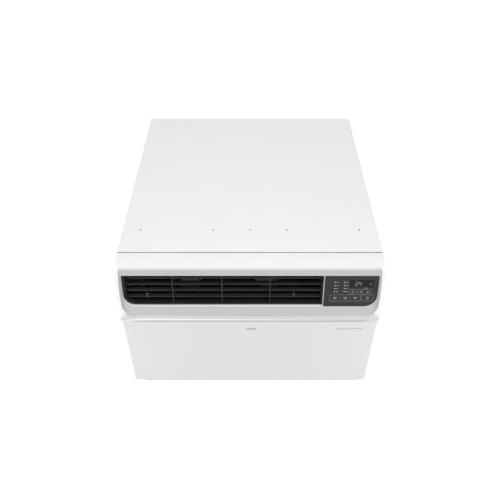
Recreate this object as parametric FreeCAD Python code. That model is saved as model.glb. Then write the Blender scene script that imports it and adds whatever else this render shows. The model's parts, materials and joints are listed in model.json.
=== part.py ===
import FreeCAD, Part
import math
import os

os.makedirs("parts", exist_ok=True)

Vec = FreeCAD.Vector

# Driving dimensions in millimetres. X is across, -Y is the room side, Z is up from the resting face.
WIDTH = 660.0
HEIGHT = 430.0
DEPTH = 770.0
FRONT_Y = -DEPTH / 2
REAR_Y = DEPTH / 2
GRILLE_DEPTH = 78.0
SEAM_Y = FRONT_Y + GRILLE_DEPTH
SLEEVE_REAR_Y = 355.0
SHEET = 1.2
GAP = 0.4
SEAM_GAP = 2.2
WALL = 3.0

# How far a cutting tool runs past the face it opens, and a length beyond every side of the object.
OVER = 5.0
FAR = 400.0

# Sleeve: corners, side slots and bottom screws.
SLEEVE_R = 5.0
SLOT_ROWS = 9
SLOT_FIRST_Z = 120.0
SLOT_PITCH = 26.0
SLOT_HEIGHT = 10.0
SLOT_LENGTH = 110.0
SLOT_STARTS = (60.0, 190.0)
SCREW_R = 4.0
SCREW_HALF = 0.8
SCREW_CLEAR = 0.05
SCREW_Z = 22.0
SCREWS_Y = (-260.0, 320.0)

# Upper front: the cheek curve, as forward of the seam and below the top.
CHEEK = [(0, 0), (16, 5), (32, 11.5), (47, 22), (59, 42), (68, 66), (74, 93), (76.5, 122), (78, 156)]
UPPER_BOTTOM_Z = 263.0

# The tilted face: its top edge and its bottom edge set its frame.
FACE_TOP = (48.0, 22.0)
FACE_BOTTOM = (75.0, 151.0)
FACE_RISE = FACE_BOTTOM[1] - FACE_TOP[1]
FACE_RUN = FACE_BOTTOM[0] - FACE_TOP[0]
FACE_LENGTH = math.hypot(FACE_RISE, FACE_RUN)
FACE_ANGLE = math.degrees(math.atan2(FACE_RISE, FACE_RUN))
FACE_ORIGIN = Vec(0, SEAM_Y - FACE_TOP[0], HEIGHT - FACE_TOP[1])
FACE_PLACE = FreeCAD.Placement(FACE_ORIGIN, FreeCAD.Rotation(Vec(1, 0, 0), FACE_ANGLE))

# Openings in the face, in face coordinates: x across, y up the face, z out of it.
FACE_HALF = 322.0
OPEN_X = (-318.0, 182.2)
PANEL_X = (183.8, 317.8)
OPEN_TOP = -11.2
OPEN_BOTTOM = -103.0
CORNER_R = 32.0
RECESS_R = 34.0
BROW_R = 20.0
SCOOP_LENGTH = 12.0
SCOOP_RISE = 4.5
LIP_DEPTH = 9.0
LIP_RISE = 4.0
LIP_CURVE = ((0.0, 0.0), (0.35, 1.2), (0.75, 4.0), (1.0, 9.0))
INNER_R = 2.0

# Outlet frame, blades and vanes.
FRAME_WALL = 3.0
FRAME_BACK = -74.0
FRAME_FRONT = -9.5
FRAME_STEP = -34.0
FRAME_PASSAGE = 8.0
RIB_DEPTH = 3.0
RIBS_X = [-193.0, -70.0, 50.0]
RIB = 2.4
BLADE_COUNT = 4
BLADE_PITCH = 18.3
BLADE_FIRST = -26.6
BLADE_Z = -21.5
BLADE_CHORD = 15.0
BLADE_THICK = 2.2
VANE_COUNT = 7
VANE_FIRST = -252.0
VANE_PITCH = 60.8
VANE_Z = -54.0
VANE_CHORD = 30.0
VANE_THICK = 1.6
PIN_R = 1.5
PIN_CLEAR = 0.06
LINK_PIN_R = 1.0
LINK_ARM = 14.0
LINK_X = 8.0
BLADE_END = 5.5
TABS_X = (-258.5, 110.0)
TAB_HALF = 2.5
TAB_DROP = 3.0
TAB_RISE = 11.0
TAB_THICK = 2.2
LINK_THICK = 2.0
LINK_HALF = 2.5
VANE_ARM = 11.0
PIN_END = 0.3
MOTOR_R = 12.0
MOTOR_LENGTH = 16.0

# Control panel.
PANEL_THICK = 3.0
KEY_GAP = 0.4
KEY_DEPTH = 7.0
KEY_PROUD = 0.6
BOARD_Z = -13.0
BOARD_THICK = 1.6
BOARD_X = (192.0, 311.0)
BOARD_DROPS = (42.0, 109.0)
SWITCH_HALF = 3.0
SWITCH_HEIGHT = 3.0
WINDOW_DEPTH = 1.8

# Lower front.
PANEL_TOP_Z = 260.0
PANEL_BOTTOM_Z = 3.5
PANEL_HALF = 325.5
PANEL_DEPTH = 14.0
PANEL_FLAT = 268.0
PANEL_CURVE = 4.5
BADGE_DEPTH = 0.6
BADGES = [((-10.0, 16.0), (227.5, 234.5)), ((222.0, 292.0), (229.8, 232.6))]
PANEL_HINGE_Z = 12.0
PANEL_HINGE_Y = FRONT_Y + 9.0
HINGE_PIN_R = 2.5
FILTER_Y = -346.0
FILTER_THICK = 6.0
FILTER_HALF = 296.0
FILTER_Z = (36.0, 250.0)
FRAME_DEPTH = (FRONT_Y + 7.0, SEAM_Y - GAP)
FRAME_CHEEK = 3.6
FRAME_FOOT = 1.5
FRAME_FLOOR = 4.0
PLATE_THICK = 3.0

FRAME_SLOTS = 8
FRAME_SLOT_Y = (-366.0, -354.0)
FRAME_SLOT_Z = 44.0
FRAME_SLOT_PITCH = 25.0
FRAME_SLOT_HEIGHT = 18.0
GUIDE_REACH = 10.0
GUIDE_LIP = 3.0
HANDLE_WAY = ((-75.0, 75.0), (6.0, 28.0))
FILTER_COLUMNS = 4
FILTER_BORDER = 10.0
FILTER_BAR = 6.0
MESH_BORDER = 5.0
MESH_THICK = 0.8

# Cord gland: a bushing in the right wall of the lower frame, with no cord in it.
GLAND_R = 9.0
GLAND_HOLE_R = 5.0
GLAND_PLACE = (-325.0, 17.0)

# Chassis.
CHASSIS_HALF = 322.0
PAN_TOP = 34.0
PAN_BOTTOM = 2.0
AXIS_X = -60.0
AXIS_Z = 205.0
WHEEL_R = 108.0
WHEEL_Y = (-226.0, -146.0)
SHAFT_R = 6.0
FAN_R = 160.0
FAN_Y = (262.0, 302.0)
COIL_Y = (336.0, 376.0)
COIL_X = (-290.0, 284.0)
COIL_Z = (36.0, 412.0)
EVAP_Y = (-298.0, -262.0)
EVAP_X = (-286.0, 280.0)
EVAP_Z = (40.0, 252.0)
COMP_X = 205.0
COMP_Y = 70.0
COMP_R = 58.0
COMP_LOW = 22.0
COMP_HEIGHT = 190.0
COMP_ROUND = 24.0
FOOT_HALF = (78.0, 60.0)
FOOT_PLACE = (64.0, 46.0)
FOOT_R = 20.0
FOOT_HOLE_R = 5.0
GROMMET_R = (11.0, 4.0)
GROMMET_TOP = 19.0
STUD_R = 3.9
STUD_TOP = 28.0
NUT_R = 7.0
NUT_Z = (23.2, 27.0)
COVER_HALF = (20.0, 16.0)
COVER_Z = (212.0, 228.0)
TANK_R = 22.0
TANK_Z = (60.0, 190.0)
TANK_ROUND = 14.0
TANK_Y = COMP_Y + COMP_R + 26.0

# Pan, walls and housings.
PAN_SHEET = 1.5
PAN_FRONT = SEAM_Y + 2.0
DRAIN_R = (8.0, 6.5)
DRAIN_PLACE = (240.0, 18.0)
DRAIN_LENGTH = 3.0
HANDLE_HALF = 60.0
HANDLE_Z = (10.0, 16.0)
HANDLE_REACH = (12.0, 8.0)
HANDLE_END = 4.0
BULKHEAD_Y = (-136.0, -134.5)
BULKHEAD_TOP = 420.0
MOTOR_WAY_R = 50.0
PIPE_WAY_R = 9.0
SHROUD_X = (-308.0, 304.0)
SHROUD_TOP = 416.0
SHROUD_SHEET = 2.0
SCROLL_R = 140.0
SCROLL_WALL = 2.5
SCROLL_X = (-310.0, 176.0)
SCROLL_SIDE = 8.0
SCROLL_BACK_R = 14.0
THROAT_RISE = 60.0
CHANNEL_RISE = 100.0
INLET_R = WHEEL_R - 14.0

# Wheels, motor and its bracket.
WHEEL_BLADES = 36
WHEEL_BLADE = 15.0
WHEEL_LEAN = 30.0
WHEEL_RIM = 18.0
WHEEL_DISC = 3.0
WHEEL_HUB = (16.0, 30.0)
FAN_BLADES = 5
FAN_PITCH = 20.0
FAN_HUB_R = 34.0
FAN_CHORD_HALF = 38.0
FAN_RING = (3.0, 10.0, 28.0)
MOTOR_STEPS = ((62.0, -90.0, 10.0), (44.0, -104.0, 24.0), (20.0, -112.0, 32.0))
BRACKET_BASE = (90.0, -70.0, -10.0)
BRACKET_COLUMN = (50.0, -60.0, -20.0)
BRACKET_SHEET = 3.0
BRACKET_CLEAR = 0.3

# Coils and pipes.
FIN_PITCH = 6.0
COIL_ROWS = 14
EVAP_ROWS = 8
TUBE_R = 4.8
TUBE_CLEAR = 0.1
TUBE_END = 6.0
SUCTION_R = 6.0
SUCTION_BEND = 18.0
SUCTION_Z = 300.0
SUCTION_X = COMP_X + 70.0
SUCTION_END = (-240.0, 256.0)
DISCHARGE_R = 4.0
DISCHARGE_BEND = 14.0
DISCHARGE_Z = 330.0
DISCHARGE_X = (COMP_X - 32.0, COMP_X + 107.0)
DISCHARGE_Y = 225.0
PIPE_GAP = 0.3

# Electrics.
ELECTRIC_X = (192.0, 312.0)
ELECTRIC_Y = (-262.0, -150.0)
ELECTRIC_Z = (310.0, 416.0)
ELECTRIC_SHEET = 1.5
INVERTER_X = (198.0, 306.0)
INVERTER_Y = (-256.0, -156.0)
INVERTER_Z = (322.0, 323.6)
CAPACITORS = 3
CAPACITOR_R = 11.0
CAPACITOR_TOP = 352.0
CAPACITOR_FIRST = (216.0, -240.0)
CAPACITOR_PITCH = 26.0
MODULE = ((210.0, 290.0), (-215.0, -170.0), 330.0)
SINK = ((212.0, 288.0), (-213.0, -172.0), (330.2, 334.0))
SINK_FINS = 11
SINK_FIN = 2.0
SINK_PITCH = 7.0
SINK_TOP = 360.0

# Top plate.
HOLE_R = 2.3
HOLE_Y = SEAM_Y + 85.0
HOLES_X = [-282.0, -95.0, 0.0, 95.0, 282.0]
BEAD_HALF = 270.0
BEAD_Y = (292.0, 330.0)
BEAD_DEPTH = 4.0
BEAD_SLOPE = 7.0


# ---------------------------------------------------------------- helpers

def box(x, y, z):
    return Part.makeBox(x[1] - x[0], y[1] - y[0], z[1] - z[0], Vec(x[0], y[0], z[0]))


def rod(axis, radius, start, end, centre):
    """A cylinder along one axis; centre is its place on the other two axes, in X, Y, Z order."""
    places = {"x": (start, centre[0], centre[1]), "y": (centre[0], start, centre[1]),
              "z": (centre[0], centre[1], start)}
    ways = {"x": Vec(1, 0, 0), "y": Vec(0, 1, 0), "z": Vec(0, 0, 1)}
    return Part.makeCylinder(radius, end - start, Vec(*places[axis]), ways[axis])


def tube(axis, outer, inner, start, end, centre):
    return rod(axis, outer, start, end, centre).cut(rod(axis, inner, start - 1, end + 1, centre))


def fuse(shapes):
    first = shapes[0]
    if len(shapes) > 1:
        first = first.fuse(shapes[1:])
    return first.removeSplitter()


def cut(shape, tools):
    return shape.cut(Part.makeCompound(tools)) if tools else shape


def on_face(shape):
    placed = shape.copy()
    placed.Placement = FACE_PLACE.multiply(placed.Placement)
    return placed


def save(shape, name):
    shape.exportStep("parts/" + name + ".step")
    print(name, shape.isValid(), len(shape.Solids), round(shape.Volume))


def outline(x, y, radii, z):
    """A rectangle's wire with its own radius at each corner: low left, low right, top right, top left."""
    low_left, low_right, top_right, top_left = radii
    corners = [(x[0], y[0], low_left, 180), (x[1], y[0], low_right, 270),
               (x[1], y[1], top_right, 0), (x[0], y[1], top_left, 90)]
    points = []
    edges = []
    for corner_x, corner_y, radius, start in corners:
        centre_x = corner_x + (radius if start in (180, 90) else -radius)
        centre_y = corner_y + (radius if start in (180, 270) else -radius)
        arc = []
        for turn in (0, 45, 90):
            angle = math.radians(start + turn)
            arc.append(Vec(centre_x + radius * math.cos(angle), centre_y + radius * math.sin(angle), z))
        points.append(arc)
    for index, arc in enumerate(points):
        edges.append(Part.Arc(*arc).toShape())
        edges.append(Part.makeLine(arc[2], points[(index + 1) % 4][0]))
    return Part.Wire(edges)


def slab(x, y, z, radii):
    wire = outline(x, y, radii, z[0])
    return Part.Face(wire).extrude(Vec(0, 0, z[1] - z[0]))


def pipe(points, radius, bend):
    """A tube along straight runs joined by tangent arcs."""
    corners = [Vec(*point) for point in points]
    edges = []
    start = corners[0]
    for index in range(1, len(corners) - 1):
        corner = corners[index]
        back = (corners[index - 1] - corner).normalize()
        ahead = (corners[index + 1] - corner).normalize()
        half = back.getAngle(ahead) / 2
        reach = bend / math.tan(half)
        first = corner + back * reach
        last = corner + ahead * reach
        middle_way = (back + ahead).normalize()
        middle = corner + middle_way * (bend / math.sin(half) - bend)
        edges.append(Part.makeLine(start, first))
        edges.append(Part.Arc(first, middle, last).toShape())
        start = last
    edges.append(Part.makeLine(start, corners[-1]))
    path = Part.Wire(edges)
    ring = Part.Wire(Part.makeCircle(radius, corners[0], corners[1] - corners[0]))
    return path.makePipeShell([ring], True, True)


# ---------------------------------------------------------------- cabinet sleeve

def bead(grow, depth):
    """The pressed bead's wedge: a wide mouth at the top plate and a narrow floor."""
    wires = []
    for inset, z in ((0.0, HEIGHT + 0.01), (BEAD_SLOPE, HEIGHT - depth)):
        wires.append(outline((-BEAD_HALF + 2 * inset - grow, BEAD_HALF - 2 * inset + grow),
                             (BEAD_Y[0] + inset - grow, BEAD_Y[1] - inset + grow), (3, 3, 3, 3), z))
    return Part.makeLoft(wires, True)


def cabinet_sleeve():
    half = WIDTH / 2
    length = SLEEVE_REAR_Y - SEAM_Y
    corner = SLEEVE_R - SHEET
    outer = slab((-half, half), (0, HEIGHT), (-length, 0), (SLEEVE_R,) * 4)
    inner = slab((-half + SHEET, half - SHEET), (SHEET, HEIGHT - SHEET), (-length - 1, 1), (corner,) * 4)
    ring = outer.cut(inner)
    ring.Placement = FreeCAD.Placement(Vec(0, SEAM_Y, 0), FreeCAD.Rotation(Vec(1, 0, 0), 90))
    below_top = box((-half, half), (SEAM_Y, SLEEVE_REAR_Y), (HEIGHT - 2 * BEAD_DEPTH - SHEET, HEIGHT))
    ring = ring.fuse(bead(SHEET, BEAD_DEPTH + SHEET).common(below_top))
    tools = [bead(0, BEAD_DEPTH)]
    for hole_x in HOLES_X:
        tools.append(rod("z", HOLE_R, HEIGHT - OVER, HEIGHT + OVER, (hole_x, HOLE_Y)))
    tools += cabinet_screws(SCREW_CLEAR)
    for side in (-1, 1):
        span = sorted((side * (half - OVER), side * (half + OVER)))
        for row in range(SLOT_ROWS):
            low = SLOT_FIRST_Z + row * SLOT_PITCH
            for near in SLOT_STARTS:
                tools.append(box(span, (near, near + SLOT_LENGTH), (low, low + SLOT_HEIGHT)))
    return cut(ring, tools)


def cabinet_screws(clearance):
    """Flush screws that hold the sleeve's bottom rails, two on each side."""
    screws = []
    middle = WIDTH / 2 - SCREW_HALF
    for side in (-1, 1):
        for place in SCREWS_Y:
            screws.append(rod("x", SCREW_R + clearance, side * middle - SCREW_HALF,
                              side * middle + SCREW_HALF, (place, SCREW_Z)))
    return screws


# ---------------------------------------------------------------- upper front

def cheek_solid(inset, half):
    points = [Vec(0, SEAM_Y - ahead + inset, HEIGHT - below - inset) for ahead, below in CHEEK]
    curve = Part.BSplineCurve()
    curve.interpolate(points)
    foot = points[-1]
    low = UPPER_BOTTOM_Z + inset
    back = points[0]
    edges = [curve.toShape(), Part.makeLine(foot, Vec(0, foot.y, low)),
             Part.makeLine(Vec(0, foot.y, low), Vec(0, back.y, low)),
             Part.makeLine(Vec(0, back.y, low), back)]
    solid = Part.Face(Part.Wire(edges)).extrude(Vec(2 * half, 0, 0))
    solid.translate(Vec(-half, 0, 0))
    return solid


def outlet_hole():
    """The discharge hole through the face, with its lower edge rolled inwards."""
    wires = []
    for share, depth in LIP_CURVE:
        rise = share * LIP_RISE
        radius = CORNER_R - rise
        wires.append(outline((OPEN_X[0] + rise / 4, OPEN_X[1]), (OPEN_BOTTOM + rise, OPEN_TOP),
                             (radius, INNER_R, INNER_R, 2 * INNER_R), 0.01 - depth))
    throat = slab((OPEN_X[0] + 2.5, OPEN_X[1]), (OPEN_BOTTOM + LIP_RISE, OPEN_TOP),
                  (-40.0, 0.02 - LIP_DEPTH), (CORNER_R - LIP_RISE, INNER_R, INNER_R, 2 * INNER_R))
    return [Part.makeLoft(wires, True), throat]


def brow_edges(body):
    """The long edge where the top curve meets the tilted face."""
    found = []
    for edge in body.Edges:
        span = edge.BoundBox
        near_brow = abs(span.YMin - FACE_ORIGIN.y) < 4 and abs(span.ZMax - FACE_ORIGIN.z) < 4
        if span.XLength > FACE_HALF and span.YLength < 1 and near_brow:
            found.append(edge)
    return found


def scoop():
    """The foot of the recess, which sweeps up and out of the tilted face."""
    top = -FACE_LENGTH + 2 * RECESS_R
    wires = []
    for share in (0.0, 0.25, 0.5, 0.75, 1.0):
        drop = SCOOP_LENGTH * share
        radius = RECESS_R + drop
        wires.append(outline((-FACE_HALF, FACE_HALF), (-FACE_LENGTH - drop, top), (radius, radius, 2, 2),
                             SCOOP_RISE * share * share))
    return Part.makeLoft(wires, True)


def front_grille():
    half = WIDTH / 2
    body = cheek_solid(0, half)
    recess = slab((-FACE_HALF, FACE_HALF), (-FACE_LENGTH, 30), (0, 60),
                  (RECESS_R, RECESS_R, INNER_R, INNER_R))
    body = body.cut(on_face(recess))
    body = body.makeFillet(BROW_R, brow_edges(body))
    body = body.cut(on_face(scoop()))
    behind = on_face(box((-FAR, FAR), (-FAR, FAR), (-FAR, -WALL)))
    cavity = cheek_solid(WALL, half - WALL).common(behind)
    cavity = cavity.fuse(box((-half + WALL, half - WALL), (SEAM_Y - 20, SEAM_Y + OVER),
                             (UPPER_BOTTOM_Z + WALL, HEIGHT - 12)))
    body = body.cut(cavity)
    collar = slab((OPEN_X[0] - 2, OPEN_X[1] + 0.8), (OPEN_BOTTOM - 4, OPEN_TOP + 4),
                  (-LIP_DEPTH, -1), (CORNER_R, INNER_R, INNER_R, 2 * INNER_R))
    body = body.fuse(on_face(collar))
    tools = [on_face(tool) for tool in outlet_hole()]
    tools.append(on_face(slab(PANEL_X, (OPEN_BOTTOM, OPEN_TOP), (-30, OVER),
                              (INNER_R, CORNER_R, 4, INNER_R))))
    tools.append(box((-FAR, FAR), (SEAM_Y - SEAM_GAP, FAR), (0, 2 * FAR)))
    return cut(body, tools).removeSplitter()


# ---------------------------------------------------------------- outlet frame, blades and vanes

FRAME_X = (OPEN_X[0] + 3.0, OPEN_X[1] - 0.5)
FRAME_Y = (OPEN_BOTTOM + LIP_RISE + 0.5, OPEN_TOP - 0.5)
INNER_X = (FRAME_X[0] + FRAME_WALL, FRAME_X[1] - FRAME_WALL)
DUCT_LOW = FRAME_Y[0] - 3.0
LINK_Y = (DUCT_LOW + FRAME_WALL + 1.5, DUCT_LOW + FRAME_WALL + 3.5)
VANE_Y = (LINK_Y[1] + 1.5, FRAME_Y[1] - FRAME_WALL - 0.8)


def blade_places():
    return [BLADE_FIRST - index * BLADE_PITCH for index in range(BLADE_COUNT)]


def vane_places():
    return [VANE_FIRST + index * VANE_PITCH for index in range(VANE_COUNT)]


def air_outlet():
    """Black frame: a front box for the blades, a deeper box for the vanes, and three upright ribs."""
    corner = CORNER_R - LIP_RISE
    void_y = (FRAME_Y[0] + 1.5, FRAME_Y[1] - 2)
    front = slab(FRAME_X, FRAME_Y, (FRAME_STEP, FRAME_FRONT), (corner, INNER_R, INNER_R, 4))
    front_void = slab(INNER_X, void_y, (FRAME_STEP - 1, FRAME_FRONT + 1), (corner - 2, INNER_R, INNER_R, 4))
    back = slab(FRAME_X, (DUCT_LOW, FRAME_Y[1]), (FRAME_BACK, FRAME_STEP), (6, 6, INNER_R, INNER_R))
    back_void = slab(INNER_X, (DUCT_LOW + FRAME_WALL, void_y[1]), (FRAME_BACK - 1, FRAME_STEP - 2),
                     (4, 4, INNER_R, INNER_R))
    passage = slab(INNER_X, void_y, (FRAME_STEP - FRAME_PASSAGE, FRAME_STEP + FRAME_PASSAGE),
                   (4, 4, INNER_R, INNER_R))
    frame = cut(fuse([front, back]), [front_void, back_void, passage])
    ribs = []
    for rib_x in RIBS_X:
        ribs.append(box((rib_x - RIB / 2, rib_x + RIB / 2), (FRAME_Y[0] + 1, FRAME_Y[1] - 1),
                        (FRAME_FRONT - RIB_DEPTH, FRAME_FRONT)))
    frame = fuse([frame] + ribs)
    tools = []
    hole = PIN_R + PIN_CLEAR
    for place in blade_places():
        tools.append(rod("x", hole, FRAME_X[0] - 1, FRAME_X[1] + 1, (place, BLADE_Z)))
    for place in vane_places():
        tools.append(rod("y", hole, DUCT_LOW - 1, FRAME_Y[1] + 1, (place, VANE_Z)))
    return on_face(cut(frame, tools))


def blade(place, with_tabs):
    """One louvre: a plate on an axle, with an arm behind it that holds the link's pin."""
    plate = box((INNER_X[0] + BLADE_END, INNER_X[1] - 1.5),
                (place - BLADE_THICK / 2, place + BLADE_THICK / 2),
                (BLADE_Z - BLADE_CHORD / 2, BLADE_Z + BLADE_CHORD / 2))
    axle = rod("x", PIN_R, FRAME_X[0] + PIN_END, FRAME_X[1] - PIN_END, (place, BLADE_Z))
    left = INNER_X[0] + LINK_X
    arm = box((left, left + LINK_THICK), (place - 2, place + 2), (BLADE_Z - LINK_ARM - 2, BLADE_Z))
    pin = rod("x", LINK_PIN_R, left - 2 * LINK_THICK - 0.5, left + 1, (place, BLADE_Z - LINK_ARM))
    pieces = [plate, axle, arm, pin]
    if with_tabs:
        low = BLADE_Z + BLADE_CHORD / 2 - TAB_HALF
        for tab_x in TABS_X:
            pieces.append(slab((tab_x - TAB_HALF, tab_x + TAB_HALF), (place - TAB_DROP, place + TAB_RISE),
                               (low, low + TAB_THICK), (1.5, 1.5, 1.5, 1.5)))
    return on_face(fuse(pieces))


def blade_link():
    """Upright bar on the blades' pins."""
    right = INNER_X[0] + LINK_X - LINK_THICK
    places = blade_places()
    middle = BLADE_Z - LINK_ARM
    bar = box((right - LINK_THICK, right), (places[-1] - 3, places[0] + 3),
              (middle - LINK_HALF, middle + LINK_HALF))
    tools = []
    for place in places:
        tools.append(rod("x", LINK_PIN_R + PIN_CLEAR, right - 2 * LINK_THICK, right + LINK_THICK,
                         (place, middle)))
    return on_face(cut(bar, tools))


def vane(place):
    """One upright vane on its axle, with the link's pin behind it."""
    plate = box((place - VANE_THICK / 2, place + VANE_THICK / 2), VANE_Y,
                (VANE_Z - VANE_CHORD / 2, VANE_Z + VANE_CHORD / 2))
    axle = rod("y", PIN_R, DUCT_LOW + PIN_END, FRAME_Y[1] - 0.5, (place, VANE_Z))
    pin = rod("y", LINK_PIN_R, LINK_Y[0] - 0.8, VANE_Y[0] + 3.0, (place, VANE_Z - VANE_ARM))
    return on_face(fuse([plate, axle, pin]))


def vane_link():
    """Level bar on the vanes' pins."""
    places = vane_places()
    middle = VANE_Z - VANE_ARM
    bar = box((places[0] - 4, places[-1] + 4), LINK_Y, (middle - LINK_HALF, middle + LINK_HALF))
    tools = []
    for place in places:
        tools.append(rod("y", LINK_PIN_R + PIN_CLEAR, LINK_Y[0] - 2, LINK_Y[1] + 2, (place, middle)))
    return on_face(cut(bar, tools))


def vane_motor():
    """Stepper motor under the last vane's axle."""
    place = vane_places()[-1]
    top = DUCT_LOW - PIN_END
    can = rod("y", MOTOR_R, top - MOTOR_LENGTH, top, (place, VANE_Z))
    ears = box((place - 1.5 * MOTOR_R, place + 1.5 * MOTOR_R), (top - 2, top), (VANE_Z - 4, VANE_Z + 4))
    return on_face(fuse([can, ears]))


# ---------------------------------------------------------------- control panel

def below(drop):
    """Face height of a point that lies so far below the top plate."""
    return -(drop - FACE_TOP[1]) * FACE_LENGTH / FACE_RISE


def pill(x, drops, z, radius):
    return slab(x, (below(drops[1]), below(drops[0])), z, (radius, radius, radius, radius))


KEY_ROW = (89.0, 106.0)
KEY_UPPER = (73.0, 85.0)
KEYS = {
    "key_timer": ((199.5, 224.4), KEY_ROW, 3.0),
    "key_mode": ((225.4, 249.6), KEY_ROW, 2.0),
    "key_speed": ((250.6, 275.0), KEY_ROW, 3.0),
    "key_power": ((278.5, 307.5), KEY_ROW, 4.0),
    "key_saver": ((247.0, 264.5), KEY_UPPER, 3.0),
    "key_down": ((269.5, 284.4), KEY_UPPER, 3.0),
    "key_up": ((285.4, 300.0), KEY_UPPER, 3.0),
}
WINDOW_X = (246.0, 305.0)
WINDOW_DROPS = (45.0, 67.0)
LIGHTS_X = (210.0, 234.0)
LIGHTS_DROPS = (52.0, 61.0, 70.0, 79.0)
LIGHT_R = 1.6
PANEL_FRONT = -0.6


def control_panel():
    x = (PANEL_X[0] + GAP, PANEL_X[1] - GAP)
    y = (OPEN_BOTTOM + GAP, OPEN_TOP - GAP)
    plate = slab(x, y, (PANEL_FRONT - PANEL_THICK, PANEL_FRONT), (2, CORNER_R - GAP, 3.6, 2))
    tools = [pill(WINDOW_X, WINDOW_DROPS, (PANEL_FRONT - WINDOW_DEPTH, OVER), 1.5)]
    for span, drops, radius in KEYS.values():
        hole = (span[0] - KEY_GAP, span[1] + KEY_GAP)
        heights = (drops[0] - KEY_GAP, drops[1] + KEY_GAP)
        tools.append(pill(hole, heights, (BOARD_Z, OVER), radius + KEY_GAP))
    for light_x in LIGHTS_X:
        for drop in LIGHTS_DROPS:
            tools.append(rod("z", LIGHT_R + 0.05, BOARD_Z, OVER, (light_x, below(drop))))
    return on_face(cut(plate, tools))


def control_key(name):
    span, drops, radius = KEYS[name]
    return on_face(pill(span, drops, (PANEL_FRONT + KEY_PROUD - KEY_DEPTH, PANEL_FRONT + KEY_PROUD), radius))


def display_window():
    inset = 0.1
    span = (WINDOW_X[0] + inset, WINDOW_X[1] - inset)
    drops = (WINDOW_DROPS[0] + inset, WINDOW_DROPS[1] - inset)
    return on_face(pill(span, drops, (PANEL_FRONT - WINDOW_DEPTH + inset, PANEL_FRONT + 0.2), 1.4))


def indicator_lights():
    lights = []
    for light_x in LIGHTS_X:
        for drop in LIGHTS_DROPS:
            lights.append(on_face(rod("z", LIGHT_R, BOARD_Z + 0.2, PANEL_FRONT + 0.1,
                                      (light_x, below(drop)))))
    return lights


def control_board():
    """Circuit board behind the keys, with one push switch under each."""
    board = box(BOARD_X, (below(BOARD_DROPS[1]), below(BOARD_DROPS[0])), (BOARD_Z - BOARD_THICK, BOARD_Z))
    switches = []
    for span, drops, _ in KEYS.values():
        middle_x = (span[0] + span[1]) / 2
        middle_y = below((drops[0] + drops[1]) / 2)
        switches.append(box((middle_x - SWITCH_HALF, middle_x + SWITCH_HALF),
                            (middle_y - SWITCH_HALF, middle_y + SWITCH_HALF),
                            (BOARD_Z - 0.1, BOARD_Z + SWITCH_HEIGHT)))
    return on_face(fuse([board] + switches))


# ---------------------------------------------------------------- lower front

def filter_guides(back_y):
    """Shelves and lips at each end of the filter, clear of the air way between them."""
    guides = []
    shelves = ((FILTER_Z[0] - 4, FILTER_Z[0] - 1), (FILTER_Z[1] + 1, FILTER_Z[1] + 3))
    for side in (-1, 1):
        span = sorted((side * (FILTER_HALF - GUIDE_REACH), side * (WIDTH / 2 - GUIDE_LIP)))
        for low, high in shelves:
            guides.append(box(span, (FILTER_Y - 1, back_y), (low, high)))
            for near, far in ((-GUIDE_LIP, -GAP), (FILTER_THICK + GAP, FILTER_THICK + GUIDE_LIP)):
                guides.append(box(span, (FILTER_Y + near, FILTER_Y + far), (low - 1, high + 2)))
    return guides


def front_frame():
    """Cheeks and foot behind the lower panel, with side inlet slots and the filter's slot on the right."""
    half = WIDTH / 2
    inside = half - FRAME_CHEEK
    through = (half - 2 * FRAME_CHEEK, half + FRAME_CHEEK)
    ring = box((-half, half), FRAME_DEPTH, (FRAME_FOOT, UPPER_BOTTOM_Z - 0.3))
    inner = box((-inside, inside), (FRAME_DEPTH[0] - 1, FRAME_DEPTH[1] + 1),
                (FRAME_FLOOR, UPPER_BOTTOM_Z + 1))
    frame = fuse([ring.cut(inner)] + filter_guides(FRAME_DEPTH[1] - PLATE_THICK - 0.1))
    tools = [box((-inside, inside), (FRONT_Y - OVER, FRONT_Y + 1.5 * PANEL_DEPTH), (0, OVER))]
    tools.append(box(through, (FILTER_Y - GAP, FILTER_Y + FILTER_THICK + GAP),
                     (FILTER_Z[0] - GAP, FILTER_Z[1] + GAP)))
    tools.append(rod("x", GLAND_R + 0.02, *through, GLAND_PLACE))
    for side in (-1, 1):
        span = sorted((side * through[0], side * through[1]))
        for row in range(FRAME_SLOTS):
            low = FRAME_SLOT_Z + row * FRAME_SLOT_PITCH
            tools.append(box(span, FRAME_SLOT_Y, (low, low + FRAME_SLOT_HEIGHT)))
        tools.append(rod("x", HINGE_PIN_R + PIN_CLEAR, *span, (PANEL_HINGE_Y, PANEL_HINGE_Z)))
    return cut(frame, tools)


def inlet_plate():
    """Steel front plate of the chassis, open in front of the coil and over the pull handle."""
    half = WIDTH / 2 - FRAME_CHEEK - 0.1
    back = FRAME_DEPTH[1]
    through = (back - OVER, back + OVER)
    plate = box((-half, half), (back - PLATE_THICK, back), (FRAME_FLOOR + 0.1, UPPER_BOTTOM_Z - 0.3))
    air_way = box(EVAP_X, through, (EVAP_Z[0], EVAP_Z[1] - 4))
    return cut(plate, [air_way, box(HANDLE_WAY[0], through, HANDLE_WAY[1])])


def cord_gland():
    half = WIDTH / 2
    bush = tube("x", GLAND_R, GLAND_HOLE_R, half - 5.0, half, GLAND_PLACE)
    collar = tube("x", GLAND_R + 1.5, GLAND_HOLE_R, half - 6.0, half - 3.7, GLAND_PLACE)
    return fuse([bush, collar])


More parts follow.
